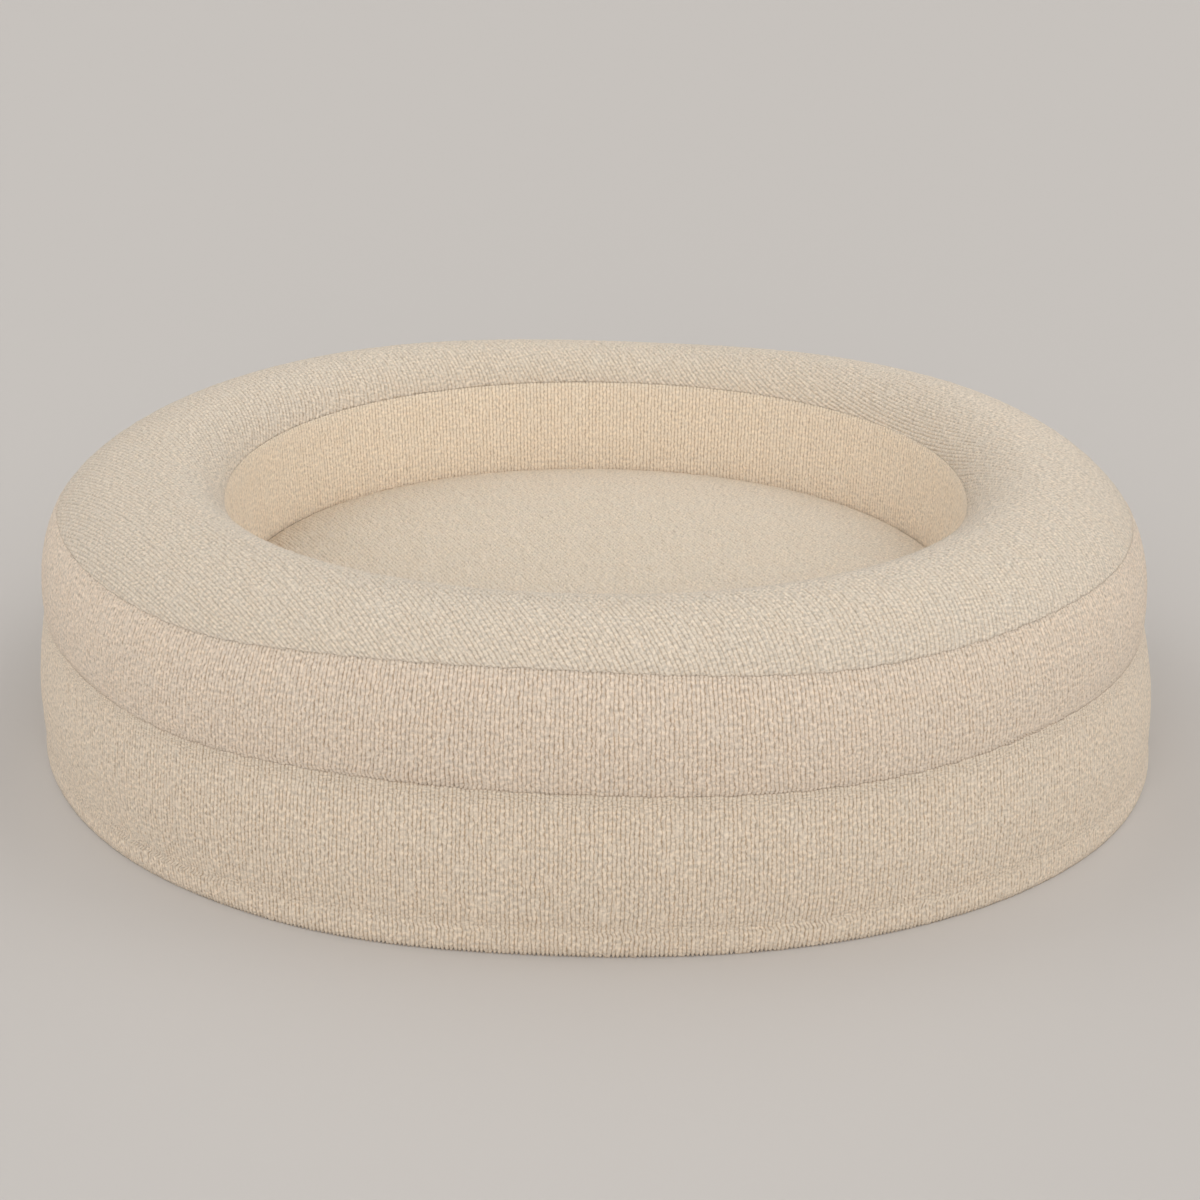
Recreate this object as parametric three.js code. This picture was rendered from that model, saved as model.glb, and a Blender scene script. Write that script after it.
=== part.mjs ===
// Oval bolster pet bed in cream ribbed boucle. A stuffed base cushion carries a stuffed bolster ring,
// sewn to its rim, and a crowned seat pad that fills the floor of the well. Millimetres, +Z up, the
// long axis on X, the front towards -Y, the origin on the floor under the middle.
import * as THREE from "three";
import { mergeVertices } from "three/addons/utils/BufferGeometryUtils.js";

// Driving dimensions
const LENGTH = 900;
const WIDTH = 762;
const OVAL_POWER = 2.06;
const WELL_LENGTH = 584;
const WELL_WIDTH = 524;
const MID_SEAM_HEIGHT = 123.5;
const TOP_SEAM_HEIGHT = 200;
const CROWN_HEIGHT = 238;
const INNER_SEAM_HEIGHT = 209;
const CREASE_HEIGHT = 127;
const SEAT_CROWN_HEIGHT = 146;
const PIECE_GAP = 0.3;

// Seams and panels
const UNDERSIDE_INSET = 10;
const RIM_INSET = 24;
const TOP_SEAM_INSET = 29;
const TOP_SEAM_GROOVE = 2;
const INNER_SEAM_GROOVE = 1.5;
const CROWN_PEAK_SHARE = 0.62;
const CROWN_STEPS = 4;
const CREASE_INSET = 3.5;
const WALL_FOOT_CURL = 5;
const SEAT_CLEARANCE = 0.6;
const SEAT_EDGE_CURL = 6;

// Resolution and cloth
const SECTIONS_AROUND = 96;
const FULL_TURN = 360;
const FRONT_ANGLE = 270;
const CLOTH_ROUGHNESS = 0.95;
const LOWER_CLOTH = 0xccbaa2;
const RING_CLOTH = 0xd2c1a8;
const SEAT_CLOTH = 0xd6c7b0;

// How the sewing pulls the form out of true around the oval, in millimetres: how far the hem, the belly
// of the lower band and the shoulder at the top seam reach past the even outline, and how far the seams
// and the crown rise. Angles run from the right end (0) over the back (90), the left end (180) and the
// front (270).
const UNEVENNESS = [
  { angle: 0, hem: 3, belly: -7, shoulder: 0, midSeam: 1, topSeam: 0, crown: -2 },
  { angle: 35, hem: 0, belly: 0, shoulder: -1, midSeam: 0, topSeam: -1, crown: 1 },
  { angle: 80, hem: 0, belly: 0, shoulder: 1, midSeam: 1, topSeam: 1, crown: -3 },
  { angle: 125, hem: 0, belly: 1, shoulder: 1, midSeam: 0, topSeam: -1, crown: 2 },
  { angle: 155, hem: -1, belly: -2, shoulder: -6, midSeam: 0, topSeam: 1, crown: -3 },
  { angle: 185, hem: 0, belly: -4, shoulder: 3, midSeam: 0, topSeam: 2, crown: 0 },
  { angle: 208, hem: -4, belly: -3, shoulder: 1, midSeam: 1, topSeam: -1, crown: 1 },
  { angle: 232, hem: 3, belly: 1, shoulder: 0, midSeam: -3, topSeam: -5, crown: 0 },
  { angle: 250, hem: 1, belly: 0, shoulder: 0, midSeam: 0, topSeam: 4, crown: 0 },
  { angle: 268, hem: 0, belly: 0, shoulder: 0, midSeam: 1, topSeam: 8, crown: 0 },
  { angle: 297, hem: -1, belly: 1, shoulder: 0, midSeam: -3, topSeam: -2, crown: 0 },
  { angle: 325, hem: 2, belly: -1, shoulder: 1, midSeam: 2, topSeam: 2, crown: 0 },
  { angle: 360, hem: 3, belly: -7, shoulder: 0, midSeam: 1, topSeam: 0, crown: -2 },
];
const UNEVEN_COLUMNS = ["hem", "belly", "shoulder", "midSeam", "topSeam", "crown"];

// The lower band from the hem's edge (up 0) to the mid seam (up 1), inset from the widest outline.
const LOWER_BAND = [
  { up: 0, inset: 5 },
  { up: 0.03, inset: 3.4 },
  { up: 0.15, inset: 3.2 },
  { up: 0.19, inset: 4.8 },
  { up: 0.24, inset: 2.6 },
  { up: 0.5, inset: 0 },
  { up: 0.72, inset: 2.2 },
  { up: 0.88, inset: 6 },
  { up: 0.97, inset: 11 },
];

// The upper band from the mid seam (up 0) to the top seam (up 1).
const UPPER_BAND = [
  { up: 0.02, inset: 17.5 },
  { up: 0.09, inset: 13.5 },
  { up: 0.28, inset: 12 },
  { up: 0.55, inset: 15 },
  { up: 0.8, inset: 21 },
  { up: 0.95, inset: 26.5 },
];

// The wall of the well from the inner seam (down 0) to its foot (down 1), inset into the well.
const INNER_WALL = [
  { down: 0.08, inset: 0.5 },
  { down: 0.35, inset: 1.5 },
  { down: 0.7, inset: 3.5 },
  { down: 0.94, inset: 4 },
];

// The seat pad from its crease (across 0) to its middle (across 1), as a share of the crown's rise.
const SEAT_CROWN = [
  { across: 0.03, rise: 0.3 },
  { across: 0.08, rise: 0.52 },
  { across: 0.2, rise: 0.76 },
  { across: 0.45, rise: 0.95 },
  { across: 0.7, rise: 1 },
];

/** One value of the unevenness table for each column, smoothly between its rows. */
function unevennessAt(angle) {
  const angles = UNEVENNESS.map((row) => row.angle);
  const values = UNEVENNESS.flatMap((row) => UNEVEN_COLUMNS.map((column) => row[column]));
  const columns = UNEVEN_COLUMNS.length;
  const curve = new THREE.CubicInterpolant(angles, values, columns, new Float32Array(columns));
  curve.settings = {
    endingStart: THREE.WrapAroundEnding,
    endingEnd: THREE.WrapAroundEnding,
  };
  const result = curve.evaluate(angle);
  return Object.fromEntries(UNEVEN_COLUMNS.map((column, k) => [column, result[k]]));
}

/** A point and its outward direction on an oval of the given length and width. */
function ovalAt(degrees, length, width) {
  const turn = THREE.MathUtils.degToRad(degrees);
  const cos = Math.cos(turn);
  const sin = Math.sin(turn);
  const bend = (value, power) => Math.sign(value) * Math.abs(value) ** power;
  const along = 2 / OVAL_POWER;
  const point = new THREE.Vector2((length / 2) * bend(cos, along), (width / 2) * bend(sin, along));
  const outward = new THREE.Vector2(bend(cos, 2 - along) / length, bend(sin, 2 - along) / width);
  return { point, outward: outward.normalize() };
}

/** A point at a height, set in by a distance from an oval's edge. */
function setIn(oval, inset, height) {
  const flat = oval.point.clone().addScaledVector(oval.outward, -inset);
  return new THREE.Vector3(flat.x, flat.y, height);
}

/** One upright section through the bed: its two outlines, its reach and the heights of its seams. */
function sectionAt(degrees) {
  const uneven = unevennessAt(degrees);
  const rim = ovalAt(degrees, LENGTH, WIDTH);
  const well = ovalAt(degrees, WELL_LENGTH, WELL_WIDTH);
  return {
    outside: (inset, height) => setIn(rim, inset, height),
    inside: (inset, height) => setIn(well, inset, height),
    hem: uneven.hem,
    belly: uneven.belly,
    shoulder: uneven.shoulder,
    midSeam: MID_SEAM_HEIGHT + uneven.midSeam,
    topSeam: TOP_SEAM_HEIGHT + uneven.topSeam,
    crown: CROWN_HEIGHT + uneven.crown,
  };
}

/** A round form whose rows each give a point for every section, from the first row to the last. */
function sewnForm(rows) {
  const profile = rows.map((row, k) => new THREE.Vector2(1, k));
  const geometry = new THREE.LatheGeometry(profile, SECTIONS_AROUND);
  geometry.deleteAttribute("normal");
  geometry.deleteAttribute("uv");
  const position = geometry.getAttribute("position");
  for (let turn = 0; turn <= SECTIONS_AROUND; turn += 1) {
    const share = (turn % SECTIONS_AROUND) / SECTIONS_AROUND;
    const section = sectionAt((FRONT_ANGLE + share * FULL_TURN) % FULL_TURN);
    rows.forEach((row, k) => {
      const point = row(section);
      position.setXYZ(turn * rows.length + k, point.x, point.y, point.z);
    });
  }
  const form = mergeVertices(geometry);
  form.computeVertexNormals();
  return form;
}

/** A row that stays on the axis at one height. */
function middle(height) {
  return () => new THREE.Vector3(0, 0, height);
}

/** The base cushion: flat underside, hem with its stitched groove, full side and drawn-in rim. */
function baseCushion() {
  const side = LOWER_BAND.map(({ up, inset }) => (section) => {
    const reach = THREE.MathUtils.lerp(section.hem, section.belly, up);
    return section.outside(inset - reach, up * section.midSeam);
  });
  const underside = (section) => section.outside(UNDERSIDE_INSET - section.hem, 0);
  const rim = (section) => section.outside(RIM_INSET, MID_SEAM_HEIGHT);
  const floorOfWell = (section) => section.inside(CREASE_INSET - WALL_FOOT_CURL, MID_SEAM_HEIGHT);
  return sewnForm([middle(0), underside, ...side, rim, floorOfWell, middle(MID_SEAM_HEIGHT)]);
}

/** The top panel's rows over the crown, from just inside the top seam to the inner seam. */
function crownRows() {
  const rows = [];
  const across = (section, share, height) => {
    const outer = section.outside(TOP_SEAM_INSET - section.shoulder, height);
    const inner = section.inside(0, height);
    return outer.lerp(inner, share);
  };
  for (let step = 1; step <= CROWN_STEPS; step += 1) {
    const turn = (step / CROWN_STEPS) * (Math.PI / 2);
    rows.push((section) => {
      const rise = section.crown - section.topSeam;
      const share = CROWN_PEAK_SHARE * (1 - Math.cos(turn));
      return across(section, share, section.topSeam + rise * Math.sin(turn));
    });
  }
  for (let step = 1; step < CROWN_STEPS; step += 1) {
    const turn = (step / CROWN_STEPS) * (Math.PI / 2);
    rows.push((section) => {
      const rise = section.crown - INNER_SEAM_HEIGHT;
      const share = CROWN_PEAK_SHARE + (1 - CROWN_PEAK_SHARE) * Math.sin(turn);
      return across(section, share, INNER_SEAM_HEIGHT + rise * Math.cos(turn));
    });
  }
  return rows;
}

/** The bolster ring: upper band, top panel and inner wall, with sewn grooves where they meet. */
function bolsterRing() {
  const foot = MID_SEAM_HEIGHT + PIECE_GAP;
  const upperBand = UPPER_BAND.map(({ up, inset }) => (section) => {
    const height = THREE.MathUtils.lerp(section.midSeam, section.topSeam, up);
    const reach = THREE.MathUtils.lerp(section.belly, section.shoulder, up);
    return section.outside(inset - reach, height);
  });
  const topSeam = (section) =>
    section.outside(TOP_SEAM_INSET + TOP_SEAM_GROOVE - section.shoulder, section.topSeam);
  const innerSeam = (section) => section.inside(-INNER_SEAM_GROOVE, INNER_SEAM_HEIGHT);
  const wall = INNER_WALL.map(({ down, inset }) => (section) =>
    section.inside(inset, THREE.MathUtils.lerp(INNER_SEAM_HEIGHT, CREASE_HEIGHT, down)),
  );
  const wallFoot = (section) => section.inside(CREASE_INSET - WALL_FOOT_CURL, foot);
  const underOuter = (section) => section.outside(RIM_INSET, foot);
  const rows = [underOuter, ...upperBand, topSeam, ...crownRows(), innerSeam, ...wall, wallFoot];
  return sewnForm([...rows, underOuter]);
}

/** The seat pad: flat under the middle, a drawn-in edge at the crease and a soft crown. */
function seatPad() {
  const underside = MID_SEAM_HEIGHT + PIECE_GAP;
  const edge = CREASE_INSET + SEAT_CLEARANCE;
  const underEdge = (section) => section.inside(edge + SEAT_EDGE_CURL, underside);
  const crease = (section) => section.inside(edge + 1, CREASE_HEIGHT);
  const crown = SEAT_CROWN.map(({ across, rise }) => (section) => {
    const height = THREE.MathUtils.lerp(CREASE_HEIGHT, SEAT_CROWN_HEIGHT, rise);
    return section.inside(edge + 1, height).lerp(new THREE.Vector3(0, 0, height), across);
  });
  return sewnForm([middle(underside), underEdge, crease, ...crown, middle(SEAT_CROWN_HEIGHT)]);
}

/** A named mesh in the bed's cloth. */
function clothMesh(name, geometry, color) {
  const material = new THREE.MeshStandardMaterial({ color, roughness: CLOTH_ROUGHNESS, metalness: 0 });
  const mesh = new THREE.Mesh(geometry, material);
  mesh.name = name;
  return mesh;
}

const group = new THREE.Group();
group.add(clothMesh("base_cushion", baseCushion(), LOWER_CLOTH));
group.add(clothMesh("bolster_ring", bolsterRing(), RING_CLOTH));
group.add(clothMesh("seat_pad", seatPad(), SEAT_CLOTH));

export default group;
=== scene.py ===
"""An oval bolster pet bed in cream ribbed boucle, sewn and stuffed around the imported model.

Metres, +Z up, the long axis on X, the front towards -Y. Turns are the ovals' own parameter in radians:
0 is the right end, a quarter turn the back, half a turn the left end and three quarters the front.
"""

import logging
import math
from dataclasses import dataclass
from enum import Enum
from typing import Callable

import bmesh
import bpy
import numpy as np
from mathutils import Matrix, Vector


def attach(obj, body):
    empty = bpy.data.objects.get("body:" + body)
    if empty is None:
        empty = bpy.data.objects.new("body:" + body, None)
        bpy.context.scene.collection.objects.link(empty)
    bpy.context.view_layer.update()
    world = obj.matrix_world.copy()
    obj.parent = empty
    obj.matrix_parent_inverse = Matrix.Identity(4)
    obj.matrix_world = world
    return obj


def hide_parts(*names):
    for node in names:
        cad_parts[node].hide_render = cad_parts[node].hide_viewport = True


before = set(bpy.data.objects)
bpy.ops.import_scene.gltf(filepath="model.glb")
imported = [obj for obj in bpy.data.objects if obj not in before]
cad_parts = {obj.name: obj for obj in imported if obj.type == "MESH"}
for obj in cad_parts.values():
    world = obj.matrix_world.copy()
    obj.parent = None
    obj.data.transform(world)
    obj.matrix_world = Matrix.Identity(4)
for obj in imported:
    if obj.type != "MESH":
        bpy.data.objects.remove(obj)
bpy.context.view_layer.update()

MM = 0.001
FULL_TURN = 2 * math.pi
FRONT = 1.5 * math.pi
ROOT = "root"
GROOVE_LAYER = "groove"
UV_NAME = "cords"
OUTLINE_STEPS = 7201
HALVINGS = 26
NEAREST_REACH = 0.5
END_REACH = 0.85
GATHER_SEED = 90
LEAN_SEED = 50
NOISE_RANGE = (0.3, 0.7)
HALF_CORD = 0.5
SEAM_MERGE = 1e-6
TRIM_MERGE = 1e-5
SEAM_CALM = 0.75
CHART_TURNS = 721
CHART_SWEEPS = 161
FLOOR_CLEARANCE = 0.0001

log = logging.getLogger("pet_bed")
Array = np.ndarray
Surface = Callable[[Array, Array], Array]
Table = tuple[tuple[float, float], ...]
Triple = tuple[float, float, float]
Colour = tuple[float, float, float]
Socket = bpy.types.NodeSocket
Inputs = dict[str | int, Socket | float | tuple[float, ...]]


class Slot(Enum):
    """The record's material slots."""

    BAND = "band_cloth"
    RING = "ring_cloth"
    SEAT = "seat_cloth"


def mix(a: Array, b: Array, share: Array) -> Array:
    """A value share of the way from a to b."""
    return a + (b - a) * share


def bent(value: Array, power: float) -> Array:
    """A value's size raised to a power, with its sign kept."""
    return np.sign(value) * np.abs(value) ** power


def soft_step(value: Array, low: float, high: float) -> Array:
    """A smooth rise from 0 at low to 1 at high."""
    share = np.clip((value - low) / (high - low), 0, 1)
    return share * share * (3 - 2 * share)


def closed_rows(values: Array) -> Array:
    """Rows whose last value is their first again."""
    return np.concatenate([values, values[:, :1]], axis=1)


def curve_through(rows: Table, at: Array) -> Array:
    """A smooth curve through a short table.

    Args:
        rows: Places along the curve, rising, and the value at each.
        at: Where the curve is read.

    Returns:
        The values there.
    """
    places, values = np.array(rows, float).T
    slopes = np.diff(values) / np.diff(places)
    tangents = np.concatenate([slopes[:1], (slopes[1:] + slopes[:-1]) / 2, slopes[-1:]])
    k = np.clip(np.searchsorted(places, at, side="right") - 1, 0, len(places) - 2)
    wide = places[k + 1] - places[k]
    p = np.clip((at - places[k]) / wide, 0, 1)
    start = (1 + 2 * p) * (1 - p) ** 2 * values[k] + p * (1 - p) ** 2 * wide * tangents[k]
    end = p * p * (3 - 2 * p) * values[k + 1] + p * p * (p - 1) * wide * tangents[k + 1]
    return start + end


def between(table: Array, row: Array, column: Array, down: Array, over: Array) -> Array:
    """A table's values between their neighbours, with the last column next to the first.

    Args:
        table: The table.
        row: The row above each place.
        column: The column before each place.
        down: How far each place is on to the next row.
        over: How far it is on to the next column.

    Returns:
        The values.
    """
    after = (column + 1) % table.shape[1]
    first = mix(table[row, column], table[row, after], over)
    second = mix(table[row + 1, column], table[row + 1, after], over)
    return mix(first, second, down)


def blurred_noise(rng: np.random.Generator, shape: tuple[int, int], reach: tuple[float, float]) -> Array:
    """Noise with soft lumps, which repeats without a seam in both directions.

    Args:
        rng: The seeded source.
        shape: Rows and columns.
        reach: How far a lump reaches along the rows' count and the columns' count, in samples.

    Returns:
        Values with a spread of 1 around 0.
    """
    waves = np.fft.rfft2(rng.standard_normal(shape))
    down = np.fft.fftfreq(shape[0])[:, None] * reach[0]
    over = np.fft.rfftfreq(shape[1])[None, :] * reach[1]
    lumps = np.fft.irfft2(waves * np.exp(-2 * math.pi**2 * (down**2 + over**2)), s=shape)
    return (lumps - lumps.mean()) / lumps.std()


def ring_noise(seed: int, columns: int, reach: float) -> Array:
    """One row of soft noise that closes around a band."""
    return closed_rows(blurred_noise(np.random.default_rng(seed), (1, columns), (0.1, reach)))


def crowded(count: int, crowds: list[tuple[float, float, float]]) -> Array:
    """Places from 0 to 1 that stand closer together near some of them.

    Args:
        count: How many spaces there are.
        crowds: The middle of each crowd, its reach, and how many times closer the places stand there.

    Returns:
        The places, one more than the spaces.
    """
    fine = np.linspace(0, 1, 2001)
    close = np.ones_like(fine)
    for middle, reach, times in crowds:
        close += (times - 1) * np.exp(-(((fine - middle) / reach) ** 2))
    total = np.concatenate([[0], np.cumsum((close[1:] + close[:-1]) / 2)])
    return np.interp(np.linspace(0, total[-1], count + 1), total, fine)


@dataclass(frozen=True)
class Oval:
    """An oval outline a little squarer than an ellipse."""

    length: float
    width: float
    power: float

    def point(self, turn: Array) -> Array:
        """The outline's points.

        Args:
            turn: The turns.

        Returns:
            The points, with x and y last.
        """
        x = self.length / 2 * bent(np.cos(turn), 2 / self.power)
        y = self.width / 2 * bent(np.sin(turn), 2 / self.power)
        return np.stack([x, y], axis=-1)

    def outward(self, turn: Array) -> Array:
        """The directions that point straight out of the outline.

        Args:
            turn: The turns.

        Returns:
            Unit directions, with x and y last.
        """
        x = bent(np.cos(turn), 2 - 2 / self.power) / self.length
        y = bent(np.sin(turn), 2 - 2 / self.power) / self.width
        out = np.stack([x, y], axis=-1)
        return out / np.linalg.norm(out, axis=-1, keepdims=True)

    def set_in(self, turn: Array, inset: Array, height: Array) -> Array:
        """Points at a height, set in from the outline.

        Args:
            turn: The turns.
            inset: How far each point is set in.
            height: How high it is.

        Returns:
            The points.
        """
        turn, inset, height = np.broadcast_arrays(turn, inset, height)
        flat = self.point(turn) - self.outward(turn) * inset[..., None]
        return np.concatenate([flat, height[..., None]], axis=-1)

    def level(self, inset: float, height: float) -> Surface:
        """A level ring, set in from the outline."""
        return lambda turn, row: self.set_in(turn, inset, height)

    def ways(self) -> tuple[Array, Array]:
        """Measures the way along the outline.

        Returns:
            Turns once around from the front, and how far along the outline each is.
        """
        turns = np.linspace(0, FULL_TURN, OUTLINE_STEPS) + FRONT
        steps = np.linalg.norm(np.diff(self.point(turns), axis=0), axis=1)
        return turns, np.concatenate([[0], np.cumsum(steps)])

    def evenly(self, around: Array) -> Array:
        """Turns at even distances along the outline.

        Args:
            around: Shares of the whole way around, from the front.

        Returns:
            The turns.
        """
        turns, way = self.ways()
        whole = np.floor(around)
        return np.interp((around - whole) * way[-1], way, turns) + whole * FULL_TURN

    def around(self) -> float:
        """The way around the outline."""
        return float(self.ways()[1][-1])

    def nearest(self, flat: Array) -> tuple[Array, Array]:
        """The turn straight in from each point of the plan, and how far out it lies.

        Args:
            flat: Points, with x and y last.

        Returns:
            The turns, and the distances from the outline.
        """
        middle = np.arctan2(flat[..., 1] / self.width, flat[..., 0] / self.length)
        low, high = middle - NEAREST_REACH, middle + NEAREST_REACH
        for _ in range(HALVINGS):
            turn = (low + high) / 2
            out = self.outward(turn)
            away = flat - self.point(turn)
            ahead = away[..., 1] * out[..., 0] - away[..., 0] * out[..., 1] > 0
            low, high = np.where(ahead, turn, low), np.where(ahead, high, turn)
        turn = (low + high) / 2
        away = flat - self.point(turn)
        return turn, (away * self.outward(turn)).sum(-1)


@dataclass(frozen=True)
class Pull:
    """How far the sewing pulls the form out of true at one place around, in millimetres."""

    angle: float
    hem: float = 0
    belly: float = 0
    shoulder: float = 0
    mid_seam: float = 0
    top_seam: float = 0
    crown: float = 0


PULLS = (
    Pull(angle=0, hem=3, belly=-7, mid_seam=1, crown=-2),
    Pull(angle=35, shoulder=-1, top_seam=-1, crown=3),
    Pull(angle=60, mid_seam=1),
    Pull(angle=85, shoulder=1, mid_seam=1, top_seam=1, crown=-5),
    Pull(angle=125, belly=1, shoulder=1, top_seam=-1, crown=2),
    Pull(angle=160, hem=-1, belly=-2, shoulder=-2, top_seam=1, crown=2),
    Pull(angle=185, belly=-2.5, shoulder=3, top_seam=2),
    Pull(angle=208, hem=-2, belly=-3, shoulder=1, mid_seam=1, top_seam=-1, crown=1),
    Pull(angle=232, hem=2.5, belly=1, mid_seam=-3, top_seam=-5),
    Pull(angle=250, hem=5, top_seam=4),
    Pull(angle=268, mid_seam=1, top_seam=8),
    Pull(angle=297, hem=1.5, belly=1, mid_seam=-3, top_seam=-2),
    Pull(angle=325, hem=2, belly=-1, shoulder=1, mid_seam=2, top_seam=2),
)


def pulled(name: str, turn: Array) -> Array:
    """One column of the pulls, smoothly around the bed.

    Args:
        name: The column.
        turn: The turns.

    Returns:
        The pulls there, in metres.
    """
    angles = np.array([row.angle for row in PULLS] + [360.0])
    values = np.array([getattr(row, name) for row in PULLS], float) * MM
    last = len(PULLS)
    at = np.degrees(turn) % 360
    k = np.clip(np.searchsorted(angles, at, side="right") - 1, 0, last - 1)
    wide = angles[k + 1] - angles[k]
    before = (k - 1) % last
    after = (k + 1) % last
    reach_before = (angles[k] - angles[before]) % 360
    reach_after = (angles[(k + 2) % last] - angles[k + 1]) % 360
    from_before = wide / 2 / reach_before
    from_after = wide / 2 / reach_after
    p = (at - angles[k]) / wide
    first = -from_before * p**3 + 2 * from_before * p**2 - from_before * p
    second = (1 + from_before) * p**3 - (1.5 + 2 * from_before) * p**2 + (from_before - 0.5) * p + 1
    third = -(1 + from_after) * p**3 + (1.5 + from_after) * p**2 + 0.5 * p
    fourth = from_after * (p**3 - p**2)
    beyond = values[(k + 2) % last]
    return first * values[before] + second * values[k] + third * values[after] + fourth * beyond


WANDER_WAVES = ((0.5, 97, 0.0), (0.35, 161, 2.3), (0.25, 263, 0.4))


def wandering(turn: Array) -> Array:
    """The small unevenness of a seam that is guided by hand, from about -1 to 1."""
    return sum(size * np.sin(times * turn + start) for size, times, start in WANDER_WAVES)


def stretched(turn: Array) -> Array:
    """How tightly a band is drawn around the bed's narrow ends, from 0 to 1, which flattens its cords."""
    return np.exp(-((np.sin(turn) / END_REACH) ** 2))


@dataclass
class Bed:
    """The sizes and surfaces of the whole bed, which its pieces share."""

    rim: Oval = Oval(0.900, 0.762, 2.06)
    well: Oval = Oval(0.584, 0.524, 2.06)
    mid_seam: float = 0.1235
    top_seam: float = 0.200
    crown: float = 0.238
    inner_seam: float = 0.209
    crease: float = 0.1254
    seat_crown: float = 0.146
    piece_gap: float = 0.00006
    underside_inset: float = 0.010
    top_seam_inset: float = 0.0286
    crown_peak_share: float = 0.62
    outer_lean: float = math.radians(24)
    inner_lean: float = math.radians(14)
    inner_roll: float = 0.0012
    stitch_wander: float = 0.0007
    crease_inset: float = 0.0042
    seat_foot: float = 0.1238
    lower_band: Table = (
        (0, 5), (0.03, 3.4), (0.15, 3.0), (0.19, 3.2), (0.24, 2.6), (0.5, 1.2), (0.72, 3.0), (0.88, 5.6),
        (0.96, 7.2), (1, 8.3))
    upper_band: Table = (
        (0, 8.3), (0.07, 8.0), (0.28, 8.8), (0.55, 12.4), (0.8, 19.2), (0.95, 25.6), (1, 28.4))
    inner_wall: Table = (
        (0, -1.2), (0.05, -0.3), (0.15, 0.6), (0.35, 1.6), (0.7, 3.5), (0.94, 4.2), (1, 3.8))
    seat_rise: Table = ((0, 0.1), (0.03, 0.3), (0.08, 0.5), (0.2, 0.75), (0.45, 0.95), (0.7, 1), (1, 1))

    def mid_seam_at(self, turn: Array) -> Array:
        """The height of the seam between the two bands."""
        return self.mid_seam + pulled("mid_seam", turn) + self.stitch_wander * wandering(turn)

    def top_seam_at(self, turn: Array) -> Array:
        """The height of the seam around the top panel."""
        return self.top_seam + pulled("top_seam", turn) + self.stitch_wander * wandering(turn + 1)

    def lower_side(self, turn: Array, up: Array) -> Array:
        """The lower band.

        Args:
            turn: The turns.
            up: 0 at the floor and 1 at the mid seam.

        Returns:
            The points.
        """
        reach = mix(pulled("hem", turn), pulled("belly", turn), up)
        inset = curve_through(self.lower_band, up) * MM - reach
        return self.rim.set_in(turn, inset, up * self.mid_seam_at(turn))

    def upper_side(self, turn: Array, up: Array) -> Array:
        """The upper band.

        Args:
            turn: The turns.
            up: 0 at the mid seam and 1 at the top seam.

        Returns:
            The points.
        """
        reach = mix(pulled("belly", turn), pulled("shoulder", turn), up)
        inset = curve_through(self.upper_band, up) * MM - reach
        foot = self.mid_seam_at(turn) + self.piece_gap
        return self.rim.set_in(turn, inset, mix(foot, self.top_seam_at(turn), up))

    def wall_side(self, turn: Array, down: Array) -> Array:
        """The inner wall, from the inner seam (down 0) to its foot (down 1)."""
        inset = curve_through(self.inner_wall, down) * MM
        return self.well.set_in(turn, inset, mix(self.inner_seam, self.crease, down))

    def crown_arc(self, turn: Array, sweep: Array) -> Array:
        """The top panel, over the crown.

        Args:
            turn: The turns.
            sweep: 0 at the inner seam, 1 at the crown and 2 at the top seam.

        Returns:
            The points.
        """
        quarter = math.pi / 2
        peak = self.crown + pulled("crown", turn)
        seam = self.top_seam_at(turn)
        inner = sweep < 1
        lean = np.where(inner, self.inner_lean, self.outer_lean)
        angle = mix(lean, quarter, np.where(inner, sweep, 2 - sweep))
        rise = (np.sin(angle) - np.sin(lean)) / (1 - np.sin(lean))
        fall = np.cos(angle) / np.cos(lean)
        across = np.where(
            inner, 1 - (1 - self.crown_peak_share) * (1 - fall), self.crown_peak_share * (1 - fall))
        height = np.where(inner, mix(self.inner_seam, peak, rise), mix(seam, peak, rise))
        outer_edge = self.rim.set_in(turn, self.top_seam_inset - pulled("shoulder", turn), height)
        inner_edge = self.well.set_in(turn, -self.inner_roll + 0 * height, height)
        return mix(outer_edge, inner_edge, across[..., None])

    def seat_top(self, turn: Array, across: Array) -> Array:
        """The seat.

        Args:
            turn: The turns.
            across: 0 at its crease and 1 at its middle.

        Returns:
            The points.
        """
        height = mix(self.crease, self.seat_crown, curve_through(self.seat_rise, across))
        edge = self.well.set_in(turn, self.crease_inset, height)
        edge[..., :2] *= (1 - across)[..., None]
        return edge


def normals_of(surface: Surface, turn: Array, row: Array, flip: bool) -> Array:
    """The directions straight out of a surface.

    Args:
        surface: Gives points from turns and row places.
        turn: The turns.
        row: The row places, which are 0 to the last.
        flip: Whether the rows run down from the outside.

    Returns:
        Unit directions.
    """
    step = 5e-4
    around = surface(turn + step, row) - surface(turn - step, row)
    up = surface(turn, row + step) - surface(turn, row - step)
    out = np.cross(around, up)
    out /= np.maximum(np.linalg.norm(out, axis=-1, keepdims=True), 1e-12)
    return -out if flip else out


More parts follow.
